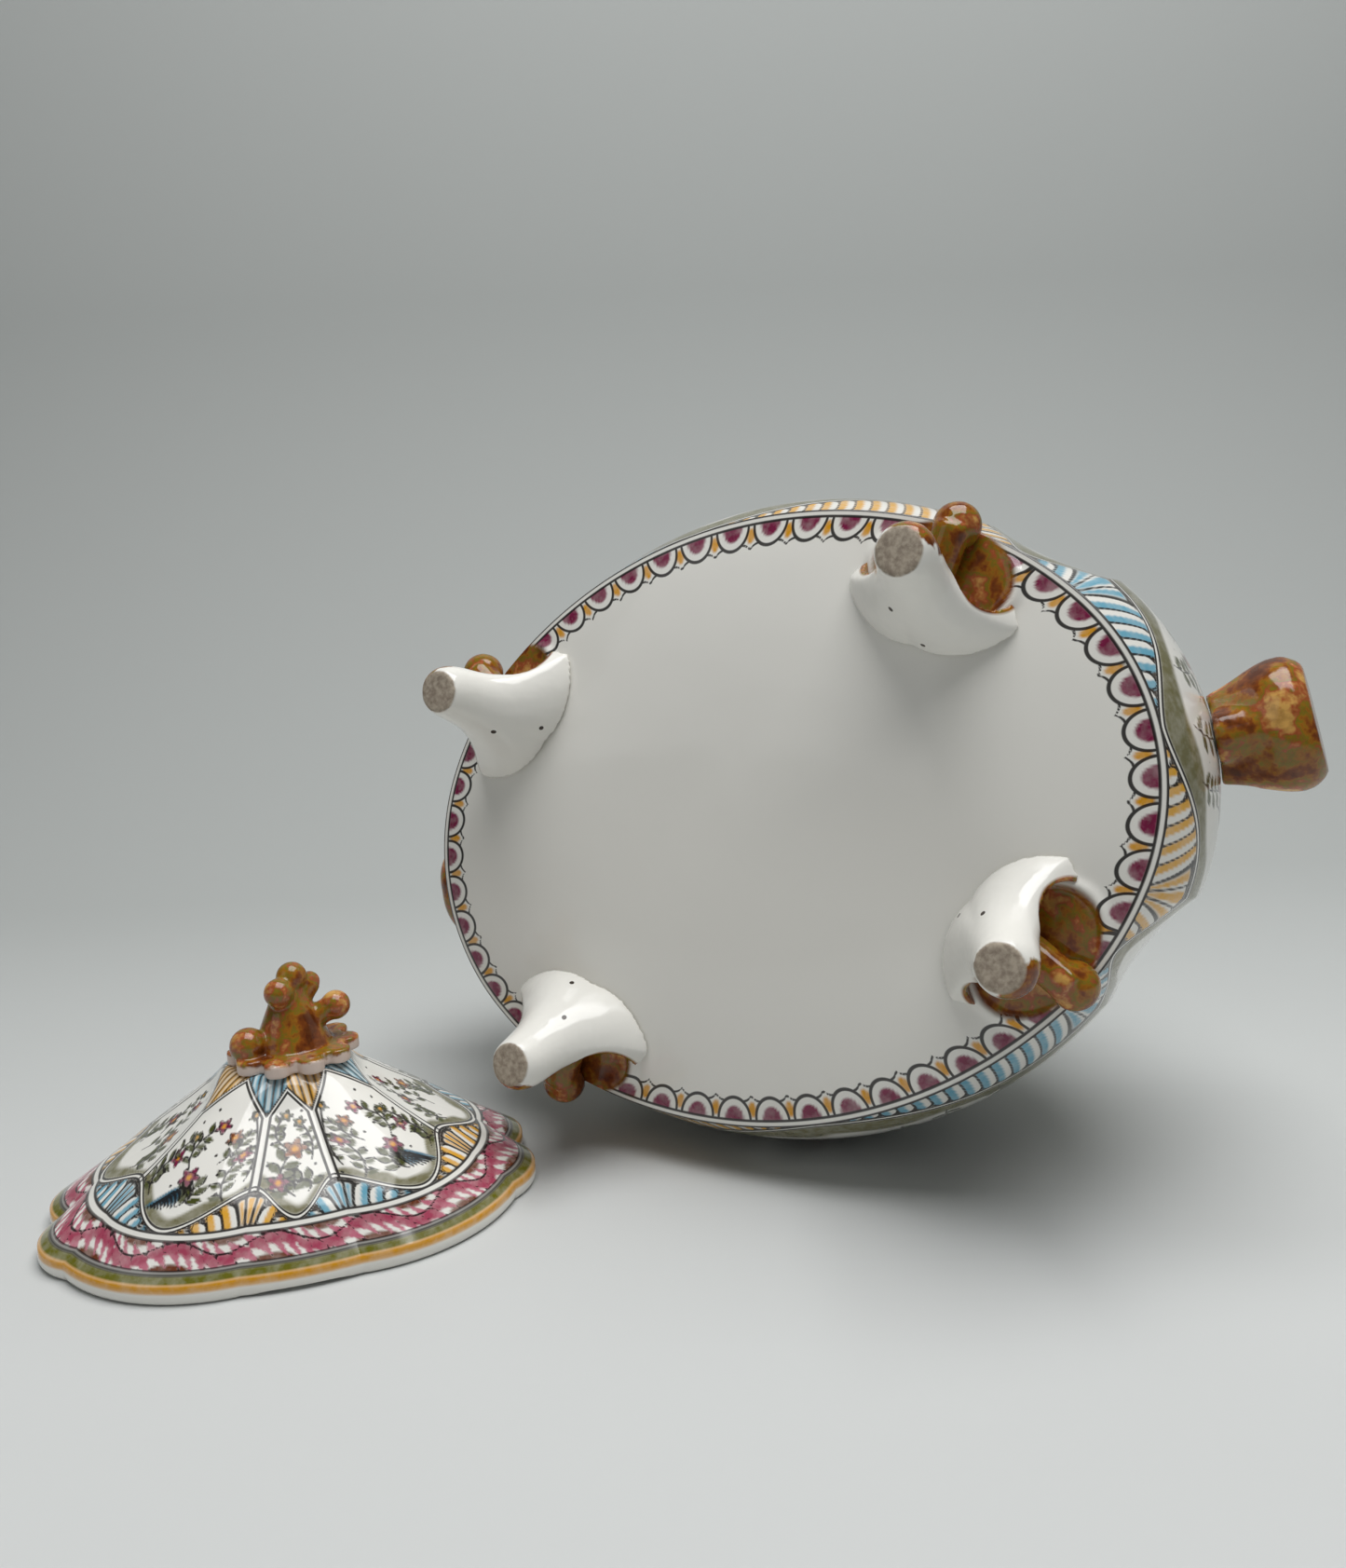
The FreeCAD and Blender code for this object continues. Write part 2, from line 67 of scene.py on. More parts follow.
# Outside of the lid from the seat of the finial down: height, half length, half width, notch, tip, lobe.
RIM_TOP = (6.5, 84.3, 63.5, 5.0, -1.0, 3.0)
RIM_FOOT = (0.0, 80.6, 59.8, 5.0, -1.0, 3.0)
LID_OUT = [(53.0, 0.0, 0.0, 0.0, 0.0, 0.0), (53.0, 19.5, 17.0, 0.0, 0.0, 0.0), (43.0, 32.0, 26.0, 5.5, 4.0, 3.6),
           (31.0, 49.0, 40.0, 6.5, 5.0, 5.2), (19.0, 67.5, 53.0, 3.5, 2.0, 4.0), (12.5, 76.0, 58.0, 4.0, 0.0, 3.4),
           RIM_TOP]
LID_EDGE = [RIM_TOP, (1.6, 84.3, 63.5, 5.0, -1.0, 3.0), (0.0, 83.0, 62.2, 5.0, -1.0, 3.0), RIM_FOOT]
LID_IN = [RIM_FOOT, (1.5, 79.3, 58.5, 5.0, -1.0, 3.0), (7.5, 71.0, 53.0, 4.0, 0.0, 3.4),
          (14.0, 62.5, 48.0, 3.5, 2.0, 4.0), (26.0, 44.0, 35.0, 6.5, 5.0, 5.2), (38.0, 27.0, 21.0, 5.5, 4.0, 3.6),
          (46.0, 14.5, 12.0, 0.0, 0.0, 0.0), (46.0, 0.0, 0.0, 0.0, 0.0, 0.0)]
LID_OUT_ROWS = (2, 20, 26, 26, 14, 13)
LID_EDGE_ROWS = (6, 2, 2)
LID_IN_ROWS = (2, 3, 3, 3, 3, 3, 2)
LID_ARCS = [(0.0, 13.0, 30.0, 52), (30.0, 54.0, 77.0, 78), (77.0, 90.0, 103.0, 50), (103.0, 126.0, 150.0, 78),
            (150.0, 167.0, 180.0, 52), (180.0, 193.0, 210.0, 52), (210.0, 234.0, 257.0, 78),
            (257.0, 270.0, 283.0, 50), (283.0, 306.0, 330.0, 78), (330.0, 347.0, 360.0, 52)]
LID_RIBS = (30.0, 77.0, 103.0, 150.0, 210.0, 257.0, 283.0, 330.0)
LID_NOTCH, LID_TIP, LID_LOBE = 0.0, 13.0, 54.0
ARCH_HALF_WIDTH = 20.0
ARCH_RISE = 1.6

# Places of the bowl and the lid on the table.
BOWL_PLACE = (Matrix.Translation((0.032126, -0.035473, 0.127326))
              @ Matrix.Rotation(math.radians(-29.45), 4, "Z") @ Matrix.Rotation(math.radians(-100.56), 4, "X")
              @ Matrix.Rotation(math.radians(-15.8), 4, "Z"))
LID_PLACE = Matrix.Translation((-0.135474, -0.049273, 0.0)) @ Matrix.Rotation(math.radians(16.5), 4, "Z")

# Feet: the middle of each root in the bowl's frame and the way its hollow side faces, in degrees.
FEET = {"foot_front_right": (81.5, 51.5, 51.0), "foot_back_right": (79.5, -56.0, -57.2),
        "foot_back_left": (-84.5, -59.5, -126.0), "foot_front_left": (-82.5, 57.5, 122.0)}

# A foot's glazes, in metres from its root: the scoop outwards, sideways and down, the vent holes (dark dots of
# painted shade) sideways and down, the edge of the brown outwards at two depths, and how far down the bare clay
# starts.
SCOOP_MIDDLE = (0.011, 0.0, 0.006)
SCOOP_HALF = (0.018, 0.026, 0.018)
VENT_SHADE_SPOTS = ((-0.004, 0.026, 0.0), (0.005, 0.012, 0.0))
VENT_SHADE_RADIUS = 0.0008
BROWN_DEPTHS = (0.016, 0.040)
BROWN_EDGES = (0.008, 0.016)
BROWN_RAGGED = 0.0022
CLAY_DEPTHS = (0.0455, 0.0460)

# The finial's pale foot, in metres above the table.
PALE_FOOT = (0.0572, 0.0560)
PALE_RAGGED = 0.0016

# Skins of the hand-luted pieces: size of the even mesh in metres and passes of smoothing.
FOOT_SKIN = (0.0009, 8)
HANDLE_SKIN = (0.0011, 10)
FINIAL_SKIN = (0.0006, 8)

# Colours of the glazes and the paint.
WHITE = "#EDEBE4"
INK = "#1E1A19"
DARK = "#33271F"
PLUM = "#7E2147"
DEEP_PLUM = "#6E1F3C"
PINK = "#BF6A7E"
ROSE = "#A8465E"
BROWN = "#6E3A24"
RUST = "#8A4A1E"
OCHRE = "#DB9A1C"
GOLD = "#E2A93A"
OLIVE = "#484D1F"
MOSS = "#6A681C"
WASH = "#74704F"
BLUE = "#6CA9C0"
SLATE = "#3F6F86"
SPONGE = [(0.35, "#54260C"), (0.43, "#7F4114"), (0.48, "#9C661A"), (0.52, "#7C6E1C"), (0.57, "#A4502E"),
          (0.65, "#CFA056")]
SPONGE_FLECK = "#6E421A"
PALE = "#DCC8BC"
CLAY = ("#8F8172", "#B9AC9A")
# Pale grey paper, and the darker grey painted on as shade where the sheet sweeps up behind.
PAPER_AND_SWEEP_SHADE = ("#CDCFCE", "#B2B5B3")


def linear(shade):
    parts = [int(shade[i:i + 2], 16) / 255 for i in (1, 3, 5)]
    return np.array([p / 12.92 if p <= 0.04045 else ((p + 0.055) / 1.055) ** 2.4 for p in parts])


def rgba(shade):
    return (*linear(shade), 1.0)


# Shapes: outlines made of arcs, carried from level to level.
def first_quarter(angle):
    folded = angle % 180.0
    return folded if folded <= 90.0 else 180.0 - folded


def on_oval(half_length, half_width, angle):
    turn = math.radians(angle)
    return complex(max(half_length, 0.0) * math.cos(turn), max(half_width, 0.0) * math.sin(turn))


def bowl_spot(level, angle):
    _, half_length, half_width, lobe = level
    inset = BOWL_INSETS[first_quarter(angle)] * lobe
    return on_oval(half_length - inset, half_width - inset, angle)


def lid_spot(level, angle):
    _, half_length, half_width, notch, tip, lobe = level
    inset = {LID_NOTCH: notch, LID_TIP: tip, LID_LOBE: -lobe}.get(first_quarter(angle), 0.0)
    return on_oval(half_length - inset, half_width - inset, angle)


def along_arc(start, middle, end, shares):
    # Points on the circle through three points, or on the line where they lie in one.
    lean = (end - start) / (middle - start) if abs(middle - start) > 1e-9 else 0j
    if abs(lean.imag) < 1e-6:
        return start + (end - start) * shares
    centre = start + (middle - start) * (lean - abs(lean) ** 2) / (2j * lean.imag)
    sweep = np.angle((end - centre) / (start - centre))
    return centre + (start - centre) * np.exp(1j * sweep * shares)


def station(level, arcs, spot):
    ring = []
    for start, middle, end, steps, *_ in arcs:
        shares = np.arange(steps) / steps
        ring.append(along_arc(spot(level, start), spot(level, middle), spot(level, end), shares))
    ring = np.concatenate(ring)
    return np.stack([ring.real, ring.imag, np.full(len(ring), level[0])], axis=-1)


def flow(levels, counts, arcs, spot):
    # Rows of points that run smoothly through the outlines of the levels.
    stations = np.array([station(level, arcs, spot) for level in levels])
    spans = np.linalg.norm(np.diff(stations, axis=0), axis=-1).mean(axis=1)
    times = np.concatenate([[0.0], np.cumsum(spans)])
    slopes = np.gradient(stations, times, axis=0)
    rows = []
    for i, count in enumerate(counts):
        for share in np.arange(count) / count:
            a, b = 2 * share ** 3 - 3 * share ** 2 + 1, share ** 3 - 2 * share ** 2 + share
            c, d = -2 * share ** 3 + 3 * share ** 2, share ** 3 - share ** 2
            rows.append(a * stations[i] + b * spans[i] * slopes[i]
                        + c * stations[i + 1] + d * spans[i] * slopes[i + 1])
    return rows + [stations[-1]]


# Distances in the paint that lie past any of its forms.
NOWHERE = 9.0
INSIDE_FACE = 99.0
OTHER_PANEL = 999.0

# Half widths of the brush lines.
RING_INK = 0.46
LEAF_INK = 0.42
BLADE_INK = 0.3
STEM_INK = 0.28
BLOOM_INK = 0.24
HEART_INK = 0.1
DOT = 0.55


class Sheet:
    # A painted surface: where each of its points lies along the arcs and down the rows, its colour, and its
    # distance from the nearest ink line, less than nothing inside the line. The lines of the ogee stripe (at
    # 0 and 2 in its own scale) and of the scallops and ribs (at 0) are kept as plain distances, to be firm.
    def __init__(self, rows, arcs, zero_row):
        self.points = np.array(rows)
        self.arc = np.concatenate([np.full(arc[3], i) for i, arc in enumerate(arcs)])
        steps = np.linalg.norm(np.roll(self.points, -1, axis=1) - self.points, axis=-1)
        run = np.cumsum(steps, axis=1) - steps
        starts = np.cumsum([0] + [arc[3] for arc in arcs])[:-1]
        self.x = run - run[:, starts][:, self.arc]
        self.width = np.maximum(np.add.reduceat(steps, starts, axis=1)[:, self.arc], 1e-3)
        self.share = self.x / self.width
        down = np.linalg.norm(np.diff(self.points, axis=0), axis=-1)
        down = np.concatenate([np.zeros((1, self.points.shape[1])), np.cumsum(down, axis=0)])
        self.h = down - down[zero_row]
        self.colour = np.tile(linear(WHITE), (*self.x.shape, 1))
        self.line = np.full(self.x.shape, NOWHERE)
        self.sponged = np.zeros(self.x.shape)
        self.stripe = np.full(self.x.shape, -NOWHERE)
        self.edge = np.full(self.x.shape, NOWHERE)

    def fill(self, gap, shade, soft=0.5):
        share = np.clip(0.5 - gap / soft, 0.0, 1.0)[..., None]
        self.colour = self.colour * (1.0 - share) + linear(shade) * share

    def ink(self, gap, half_width):
        self.line = np.minimum(self.line, np.abs(gap) - half_width)

    def clear(self, gap):
        self.line = np.maximum(self.line, -gap)


def both(*gaps):
    # The distance to what lies inside all of the shapes.
    return np.maximum.reduce(np.broadcast_arrays(*gaps))


def oval(x, y, half_x, half_y):
    return (np.hypot(x / half_x, y / half_y) - 1.0) * min(half_x, half_y)


def waves(sheet, pitch, seed):
    # A soft uneven edge for a hand-laid wash.
    p = sheet.points
    broad = np.sin(p[..., 0] / pitch + seed) * np.cos(p[..., 1] / (pitch * 0.8) - seed)
    return broad + 0.6 * np.sin((p[..., 0] - p[..., 2]) / (pitch * 0.45))


def arch_over(off_ridge, half, height, power):
    # The stripe over a fan: highest at the ridge and down at the middle of the panel.
    return height * (0.5 + 0.5 * np.cos(np.pi * np.clip(off_ridge / half, 0.0, 1.0))) ** power


# Leaves of the fans: their bow, where under the arch a leaf takes its height and how much of it, the shortest
# leaf, how far past the ground its lines run, and the petals on a ridge: each one's share of the palmette, the
# share of it that is coloured, its white border, and how far across the palmette the lines between them go.
BOW = 0.05
LEAF_PLACE = 0.35
LEAF_REACH = 0.9
LEAF_LEAST = 0.3
GROUND_EDGE = 0.3
PETAL = 1.0 / 3.0
PETAL_COLOUR = 0.58
PETAL_BORDER = 0.6
PALMETTE = 0.9


def fans(sheet, off_ridge, half, rise, shape, pitch, lean, shades, even):
    # Leaves that fan out from each ridge on a dark ground.
    ground = both(rise - arch_over(off_ridge, half, *shape), -rise)
    sheet.fill(ground, DARK)
    spread = lean * rise + BOW * rise ** 2 / pitch
    wide = 0.5 * pitch + np.maximum(spread, 0.0)
    place = (off_ridge - spread) / pitch
    number = np.maximum(np.round(place), 0.0)
    first = number == 0.0
    across = np.where(first, off_ridge * 0.5 * pitch / wide, (place - number) * pitch)
    span = np.maximum(arch_over((number + LEAF_PLACE) * pitch, half, *shape) * LEAF_REACH, LEAF_LEAST)
    round_end = np.minimum(pitch * 0.5, span)
    past_end = np.maximum(rise - span + round_end, 0.0)
    leaf = (np.hypot(across / (pitch * 0.5), past_end / round_end) - 1.0) * pitch * 0.5
    leaf = both(leaf, ground)
    sheet.fill(leaf, WHITE)
    # The leaf on the ridge itself is a palmette of three petals.
    petal = (off_ridge / wide + PETAL) % (2.0 * PETAL) - PETAL
    vein = both(leaf + PETAL_BORDER, (np.abs(petal) - PETAL_COLOUR * PETAL) * wide)
    for shade, chosen in zip(shades, (even, ~even)):
        sheet.fill(np.where(chosen & ~first, both(leaf, -across - 0.1), NOWHERE), shade)
        sheet.fill(np.where(chosen & first, vein, NOWHERE), shade)
    parting = np.where(first & (off_ridge < PALMETTE * wide), (PETAL - np.abs(petal)) * wide, NOWHERE)
    sheet.ink(np.where(ground < GROUND_EDGE, np.minimum(np.abs(leaf), parting), NOWHERE), LEAF_INK)


def band(sheet, gap, width):
    # A white stripe with an ink line on each side.
    sheet.clear(both(gap - width, -gap))
    sheet.fill(both(gap - width, -gap), WHITE)
    sheet.ink(gap, RING_INK)
    sheet.ink(gap - width, RING_INK)


def ogee(sheet, gap, width):
    # The white stripe over the fans. Its lines are drawn from the kept distance.
    sheet.clear(both(gap - width, -gap) - 0.4)
    sheet.fill(both(gap - width, -gap), WHITE)
    sheet.stripe = gap * 2.0 / width


def bloom(sheet, x, y, radius, shade):
    # A flower of five petals round a ring and an ochre heart.
    away = np.hypot(x, y)
    petals = away - radius * (0.78 + 0.22 * np.cos(5.0 * np.arctan2(y, x)))
    sheet.clear(petals)
    sheet.fill(petals, shade)
    sheet.ink(petals, BLOOM_INK)
    sheet.ink(away - radius * 0.5, HEART_INK)
    sheet.fill(away - radius * 0.26, OCHRE)


def blade(sheet, x, y, angle, length, width, shade):
    # A pointed leaf that starts at the origin and runs along the angle.
    turn = math.radians(angle)
    along = x * math.cos(turn) + y * math.sin(turn)
    across = y * math.cos(turn) - x * math.sin(turn)
    half = width * np.sin(np.pi * np.clip(along / length, 0.0, 1.0)) * 0.5
    gap = both(np.abs(across) - half, -along, along - length)
    sheet.fill(gap, shade, 0.4)
    sheet.ink(np.where(across < 0.0, gap, NOWHERE), BLADE_INK)


STEM_STEPS = 9
BLADE_TURN = 55.0
BLADE_SIZE = (1.45, 0.75)


def sprig(sheet, x, y, start, bend, end, shade, size):
    # A bowed stem with leaves by turns on its two sides and a bloom at its end.
    spots = []
    for i in range(STEM_STEPS + 1):
        t = i / STEM_STEPS
        spots.append([(1 - t) ** 2 * s + 2 * t * (1 - t) * b + t ** 2 * e for s, b, e in zip(start, bend, end)])
    for i, ((x0, y0), (x1, y1)) in enumerate(zip(spots[:-1], spots[1:])):
        run, rise = x1 - x0, y1 - y0
        t = np.clip(((x - x0) * run + (y - y0) * rise) / (run * run + rise * rise), 0.0, 1.0)
        sheet.ink(np.hypot(x - x0 - t * run, y - y0 - t * rise), STEM_INK)
        if 0 < i < STEM_STEPS - 1:
            heading = math.degrees(math.atan2(rise, run)) + (BLADE_TURN if i % 2 else -BLADE_TURN)
            blade(sheet, x - x0, y - y0, heading, size * BLADE_SIZE[0], size * BLADE_SIZE[1], OLIVE)
    bloom(sheet, x - end[0], y - end[1], size, shade)


def dots(sheet, x, y, spots):
    for px, py in spots:
        sheet.ink(np.hypot(x - px, y - py), DOT)


def feather(sheet, x, y, shade, count, length, lean):
    # A tuft of narrow blades side by side.
    for i in range(count):
        blade(sheet, x - i * 1.5, y - 0.35 * i, 90.0 - lean + 4.0 * i, length - 0.7 * i, 1.3, shade)


# The bowl's paint: a border of scallops on the white underside, a stripe round the ring, leaf fans on the
# ridges, a grey-green wash, and sprigs on the wall. A sponged patch with a low rim lies under each foot.
SCALLOP = (6.3, 8.6)
HALF_DISC = (3.7, 5.4)
DISC_LIGHT = (1.3, 3.2)
DAB = (1.5, 2.9)
DAB_DOWN = 4.2
BRACKET_DOWN = 7.0
BRACKET_POINT = (2.6, 1.3)
BRACKET_HALF = 4.6
RING_STRIPE = 2.3
BOWL_FAN = (25.0, 0.8)
BOWL_LEAF = 6.0
BOWL_LEAN = 0.28
BOWL_OGEE = 2.2
BOWL_WASH = (11.0, 3.0)
HOLLOW_OUT = 10.5
HOLLOW_HALF = (17.5, 25.0)
HOLLOW_TOP = 3.0
RIM_HALF = 1.3
RIM_RISE = 1.4
RIM_BARE = 0.6
RIM_FADE = 3.0
BOWL_SPRIGS = [((-20, 21), (-14, 33), (-22, 45), PLUM, 4.6), ((0, 19), (8, 35), (2, 51), RUST, 5.0),
               ((18, 21), (24, 31), (20, 47), PLUM, 4.4), ((-8, 34), (-16, 54), (-6, 68), PLUM, 4.2),
               ((26, 40), (32, 56), (22, 72), SLATE, 3.8), ((-30, 40), (-36, 56), (-28, 70), PLUM, 4.2),
               ((8, 56), (16, 74), (4, 88), RUST, 4.4), ((-16, 70), (-24, 86), (-14, 98), PLUM, 4.0),
               ((18, 78), (26, 92), (16, 106), PLUM, 4.0), ((-2, 92), (-8, 106), (0, 118), SLATE, 3.4)]
BOWL_DOTS = [(-26, 31), (-11, 37), (12, 29), (26, 39), (-4, 43), (9, 59), (-18, 57), (24, 55), (14, 43), (-28, 53),
             (-4, 78), (12, 98), (-10, 86), (24, 84), (-20, 104), (8, 110)]
CORNER_SPRIGS = [((0, 50), (7, 60), (-1, 70), RUST, 4.2), ((-2, 72), (-8, 82), (1, 92), PLUM, 4.0),
                 ((1, 94), (6, 103), (0, 113), SLATE, 3.4)]
BOWL_PANELS = {CORNER: (CORNER_SPRIGS, [], (0.0,)), END: (BOWL_SPRIGS, BOWL_DOTS, (0.0,)),
               FLANK: (BOWL_SPRIGS, BOWL_DOTS, (-42.0, 42.0))}
NECK_LINES = (150.0, 153.0)
NECK_INK = 0.5


def paint_bowl(sheet, ring_row):
    paint_scallops(sheet, ring_row)
    rows = np.arange(len(sheet.h))[:, None]
    mouth_row = ring_row + sum(WALL_ROWS)
    off_ridge = np.minimum(sheet.x, sheet.width - sheet.x)
    ridge = (sheet.arc[None, :] + (sheet.share > 0.5)) % 2
    half = sheet.width * 0.5
    top = arch_over(off_ridge, half, *BOWL_FAN)
    above = sheet.h - top - BOWL_OGEE
    wash = both(above - BOWL_WASH[0] - BOWL_WASH[1] * waves(sheet, BOWL_WASH[0], 1.0), -above)
    sheet.fill(np.where(sheet.h > 0.0, wash, NOWHERE), WASH, 2.5)
    rise = np.where(sheet.h > 0.0, sheet.h, -NOWHERE)
    fans(sheet, off_ridge, half, rise, BOWL_FAN, BOWL_LEAF, BOWL_LEAN, (GOLD, BLUE), ridge == 0)
    ogee(sheet, np.where(rows <= mouth_row, sheet.h - top, INSIDE_FACE), BOWL_OGEE)
    band(sheet, sheet.h + RING_STRIPE, RING_STRIPE)
    sponge_hollows(sheet)
    outside = (rows > ring_row) & (rows <= mouth_row)
    up = np.where(outside, sheet.h, OTHER_PANEL)
    for i, arc in enumerate(BOWL_ARCS):
        middle = np.where(sheet.arc[None, :] == i, sheet.x - sheet.width * 0.5, OTHER_PANEL)
        sprigs, spots, shifts = BOWL_PANELS[arc[4]]
        for shift in shifts:
            for start, bend, end, shade, size in sprigs:
                sprig(sheet, middle - shift, up, start, bend, end, shade, size)
            dots(sheet, middle - shift, up, spots)
    level = np.where(outside, sheet.points[..., 2], 0.0)
    sheet.fill(both(level - NECK_LINES[1], NECK_LINES[0] - level), OCHRE)
    for line in NECK_LINES:
        sheet.ink(level - line, NECK_INK)


def paint_scallops(sheet, ring_row):
    # Scallops round half discs, with a dab of ochre and a bracket in the gaps between them.
    counts = np.array([arc[4] for arc in BOWL_ARCS])[sheet.arc]
    phase = sheet.share[ring_row] * counts
    pitch = sheet.width / counts
    off_disc = (phase % 1.0 - 0.5) * pitch
    off_gap = ((phase + 0.5) % 1.0 - 0.5) * pitch
    under = -sheet.h - RING_STRIPE
    outline = oval(off_disc, under, *SCALLOP)
    scallop = both(outline, -under)
    disc = both(oval(off_disc, under, *HALF_DISC), -under)
    sheet.fill(both(oval(off_gap, under - DAB_DOWN, *DAB), -scallop), OCHRE)
    bracket = under - BRACKET_DOWN - BRACKET_POINT[0] * np.exp(-np.abs(off_gap) / BRACKET_POINT[1])
    sheet.ink(np.where((np.abs(off_gap) < BRACKET_HALF) & (scallop > -0.4), bracket, NOWHERE), LEAF_INK)
    sheet.edge = np.where(under > 0.0, outline, NOWHERE)
    sheet.fill(disc, PLUM)
    sheet.fill(both(disc + 1.5, -oval(off_disc - 1.0, under, *DISC_LIGHT)), DEEP_PLUM, 1.2)


def sponge_hollows(sheet):
    # The floor of the hollow in each foot, with the low rim that runs round it.
    rims = np.zeros(sheet.h.shape)
    for along, across, heading in FEET.values():
        turn = math.radians(heading)
        east, north = sheet.points[..., 0] - along, sheet.points[..., 1] - across
        reach = east * math.cos(turn) + north * math.sin(turn)
        side = north * math.cos(turn) - east * math.sin(turn)
        hollow = oval(reach - HOLLOW_OUT, side, *HOLLOW_HALF)
        patch = both(hollow + RIM_HALF * RIM_BARE, sheet.points[..., 2] - HOLLOW_TOP)
        sheet.sponged = np.maximum(sheet.sponged, np.clip(0.5 - patch, 0.0, 1.0))
        rims = np.maximum(rims, np.exp(-(hollow / RIM_HALF) ** 2))
    sheet.points[..., 2] -= RIM_RISE * rims * np.clip((-sheet.h - RING_STRIPE) / RIM_FADE, 0.0, 1.0)


# The lid's paint, by its distance up the profile from the top of the rim.
LIP_EDGE = -2.0
OCHRE_EDGE = 0.9
OLIVE_EDGE = 4.0
OLIVE_INK = 0.38
BAND = (5.4, 15.8)
BAND_INKS = (0.4, 0.42)
BAND_MIDDLE = 0.5 * (BAND[0] + BAND[1])
LID_RING = 18.4
LID_RING_INK = 0.45
LID_FAN = (12.5, 0.9)
LID_LEAF = 4.8
LID_LEAN = 0.2
LID_OGEE = 1.6
LID_WASH = (4.0, 1.6, 5.0)
RIB_HALF = 1.2
RIB_LINE = 1.35
LID_TOP = 70.5
TRIANGLE = 12.0
TRIANGLE_SLOPE = 0.55
TRIANGLE_BORDER = 1.4
TRIANGLE_PETAL = 2.6
TRIANGLE_INK = 0.3
WIDE_PANEL = 30.0
WIDE_SPRIGS = [((-13, 30), (-21, 38), (-10, 44), PLUM, 3.3), ((0, 28), (7, 33), (-1, 39), PLUM, 3.7),
               ((15, 29), (8, 38), (13, 46), PLUM, 3.1), ((-3, 42), (-9, 50), (1, 57), PLUM, 2.8),
               ((6, 44), (14, 52), (7, 53), RUST, 2.7), ((-17, 34), (-12, 48), (-7, 52), OLIVE, 2.3),
               ((18, 36), (20, 44), (10, 60), OLIVE, 2.2)]
NARROW_SPRIGS = [((0, 27), (-9, 35), (1, 45), RUST, 4.2), ((4, 28), (9, 34), (-5, 33), PLUM, 3.7),
                 ((-2, 46), (-8, 52), (-1, 58), OLIVE, 2.3), ((6, 40), (8, 48), (3, 55), OLIVE, 2.2)]
END_SPRIGS = [((-10, 29), (-15, 36), (-6, 43), PLUM, 3.1), ((9, 29), (15, 35), (8, 43), RUST, 3.4),
              ((0, 32), (5, 44), (0, 53), PLUM, 2.8), ((-3, 38), (-8, 48), (-4, 57), OLIVE, 2.0)]
LID_DOTS = [(-16, 41), (-6, 35), (8, 40), (18, 41), (-13, 49), (9, 60), (-4, 62), (4, 47), (-8, 57), (11, 33),
            (-1, 49), (-20, 33), (20, 33), (3, 33), (-4, 30)]
NARROW_DOTS = [(-8, 40), (7, 38), (-6, 48), (5, 50), (-4, 53), (4, 59), (-9, 31), (8, 33), (-2, 51), (0, 37)]


def paint_lid(sheet, rim_row):
    up = np.broadcast_to(-sheet.h.mean(axis=1)[:, None], sheet.x.shape)
    outside = np.arange(len(up))[:, None] <= rim_row + LID_EDGE_ROWS[0] + 1
    up = np.where(outside, up, -INSIDE_FACE)
    sheet.fill(both(up - OLIVE_EDGE, OCHRE_EDGE - up), MOSS, 1.0)
    sheet.fill(both(up - OCHRE_EDGE, LIP_EDGE - up), OCHRE, 0.9)
    sheet.ink(up - OLIVE_EDGE, OLIVE_INK)
    paint_scroll(sheet, up)
    for edge, half_width in zip(BAND, BAND_INKS):
        sheet.ink(up - edge, half_width)
    starts = np.array([arc[0] in LID_RIBS for arc in LID_ARCS])[sheet.arc]
    ends = np.array([arc[2] % 360.0 in LID_RIBS for arc in LID_ARCS])[sheet.arc]
    to_start = np.where(starts, sheet.x, OTHER_PANEL)
    to_end = np.where(ends, sheet.width - sheet.x, OTHER_PANEL)
    off_rib = np.minimum(to_start, to_end)
    half = np.where(starts & ends, sheet.width * 0.5, sheet.width)
    rib = (np.searchsorted(LID_RIBS, np.array([arc[0] for arc in LID_ARCS]) + 0.1)[sheet.arc] - 1
           + (to_end < to_start)) % 2
    dome = up - LID_RING
    top = arch_over(off_rib, half, *LID_FAN)
    ground = dome - top - LID_OGEE
    wash = both(ground - LID_WASH[0] - LID_WASH[1] * waves(sheet, LID_WASH[2], 2.0), -ground, -dome)
    sheet.fill(wash, WASH, LID_WASH[1])
    paint_sprigs(sheet, up)
    rise = np.where(dome > 0.0, dome, -NOWHERE)
    fans(sheet, off_rib, half, rise, LID_FAN, LID_LEAF, LID_LEAN, (BLUE, GOLD), rib == 0)
    rib_gap = both(off_rib - RIB_HALF, top - dome)
    sheet.clear(rib_gap - 0.5)
    sheet.fill(rib_gap, WHITE)
    corner = both(off_rib - (up - LID_TOP + TRIANGLE) * TRIANGLE_SLOPE, LID_TOP - TRIANGLE - up)
    sheet.clear(corner - TRIANGLE_BORDER)
    sheet.fill(corner - TRIANGLE_BORDER, WHITE)
    sheet.fill(corner, DARK)
    petal = (off_rib / TRIANGLE_PETAL + 0.5) % 1.0 - 0.5
    leaf = both(np.abs(petal) * TRIANGLE_PETAL - 0.95, corner + 0.4, LID_TOP - TRIANGLE + 2.0 - up)
    sheet.fill(np.where(rib == 0, leaf, NOWHERE), GOLD)
    sheet.fill(np.where(rib == 1, leaf, NOWHERE), BLUE)
    sheet.fill(both(leaf + 0.45, -petal), WHITE)
    sheet.edge = np.where(dome > top - 0.5, np.minimum(off_rib - RIB_LINE, corner - TRIANGLE_BORDER), NOWHERE)
    sheet.ink(corner, TRIANGLE_INK)
    ogee(sheet, dome - top, LID_OGEE)
    sheet.ink(dome, LID_RING_INK)


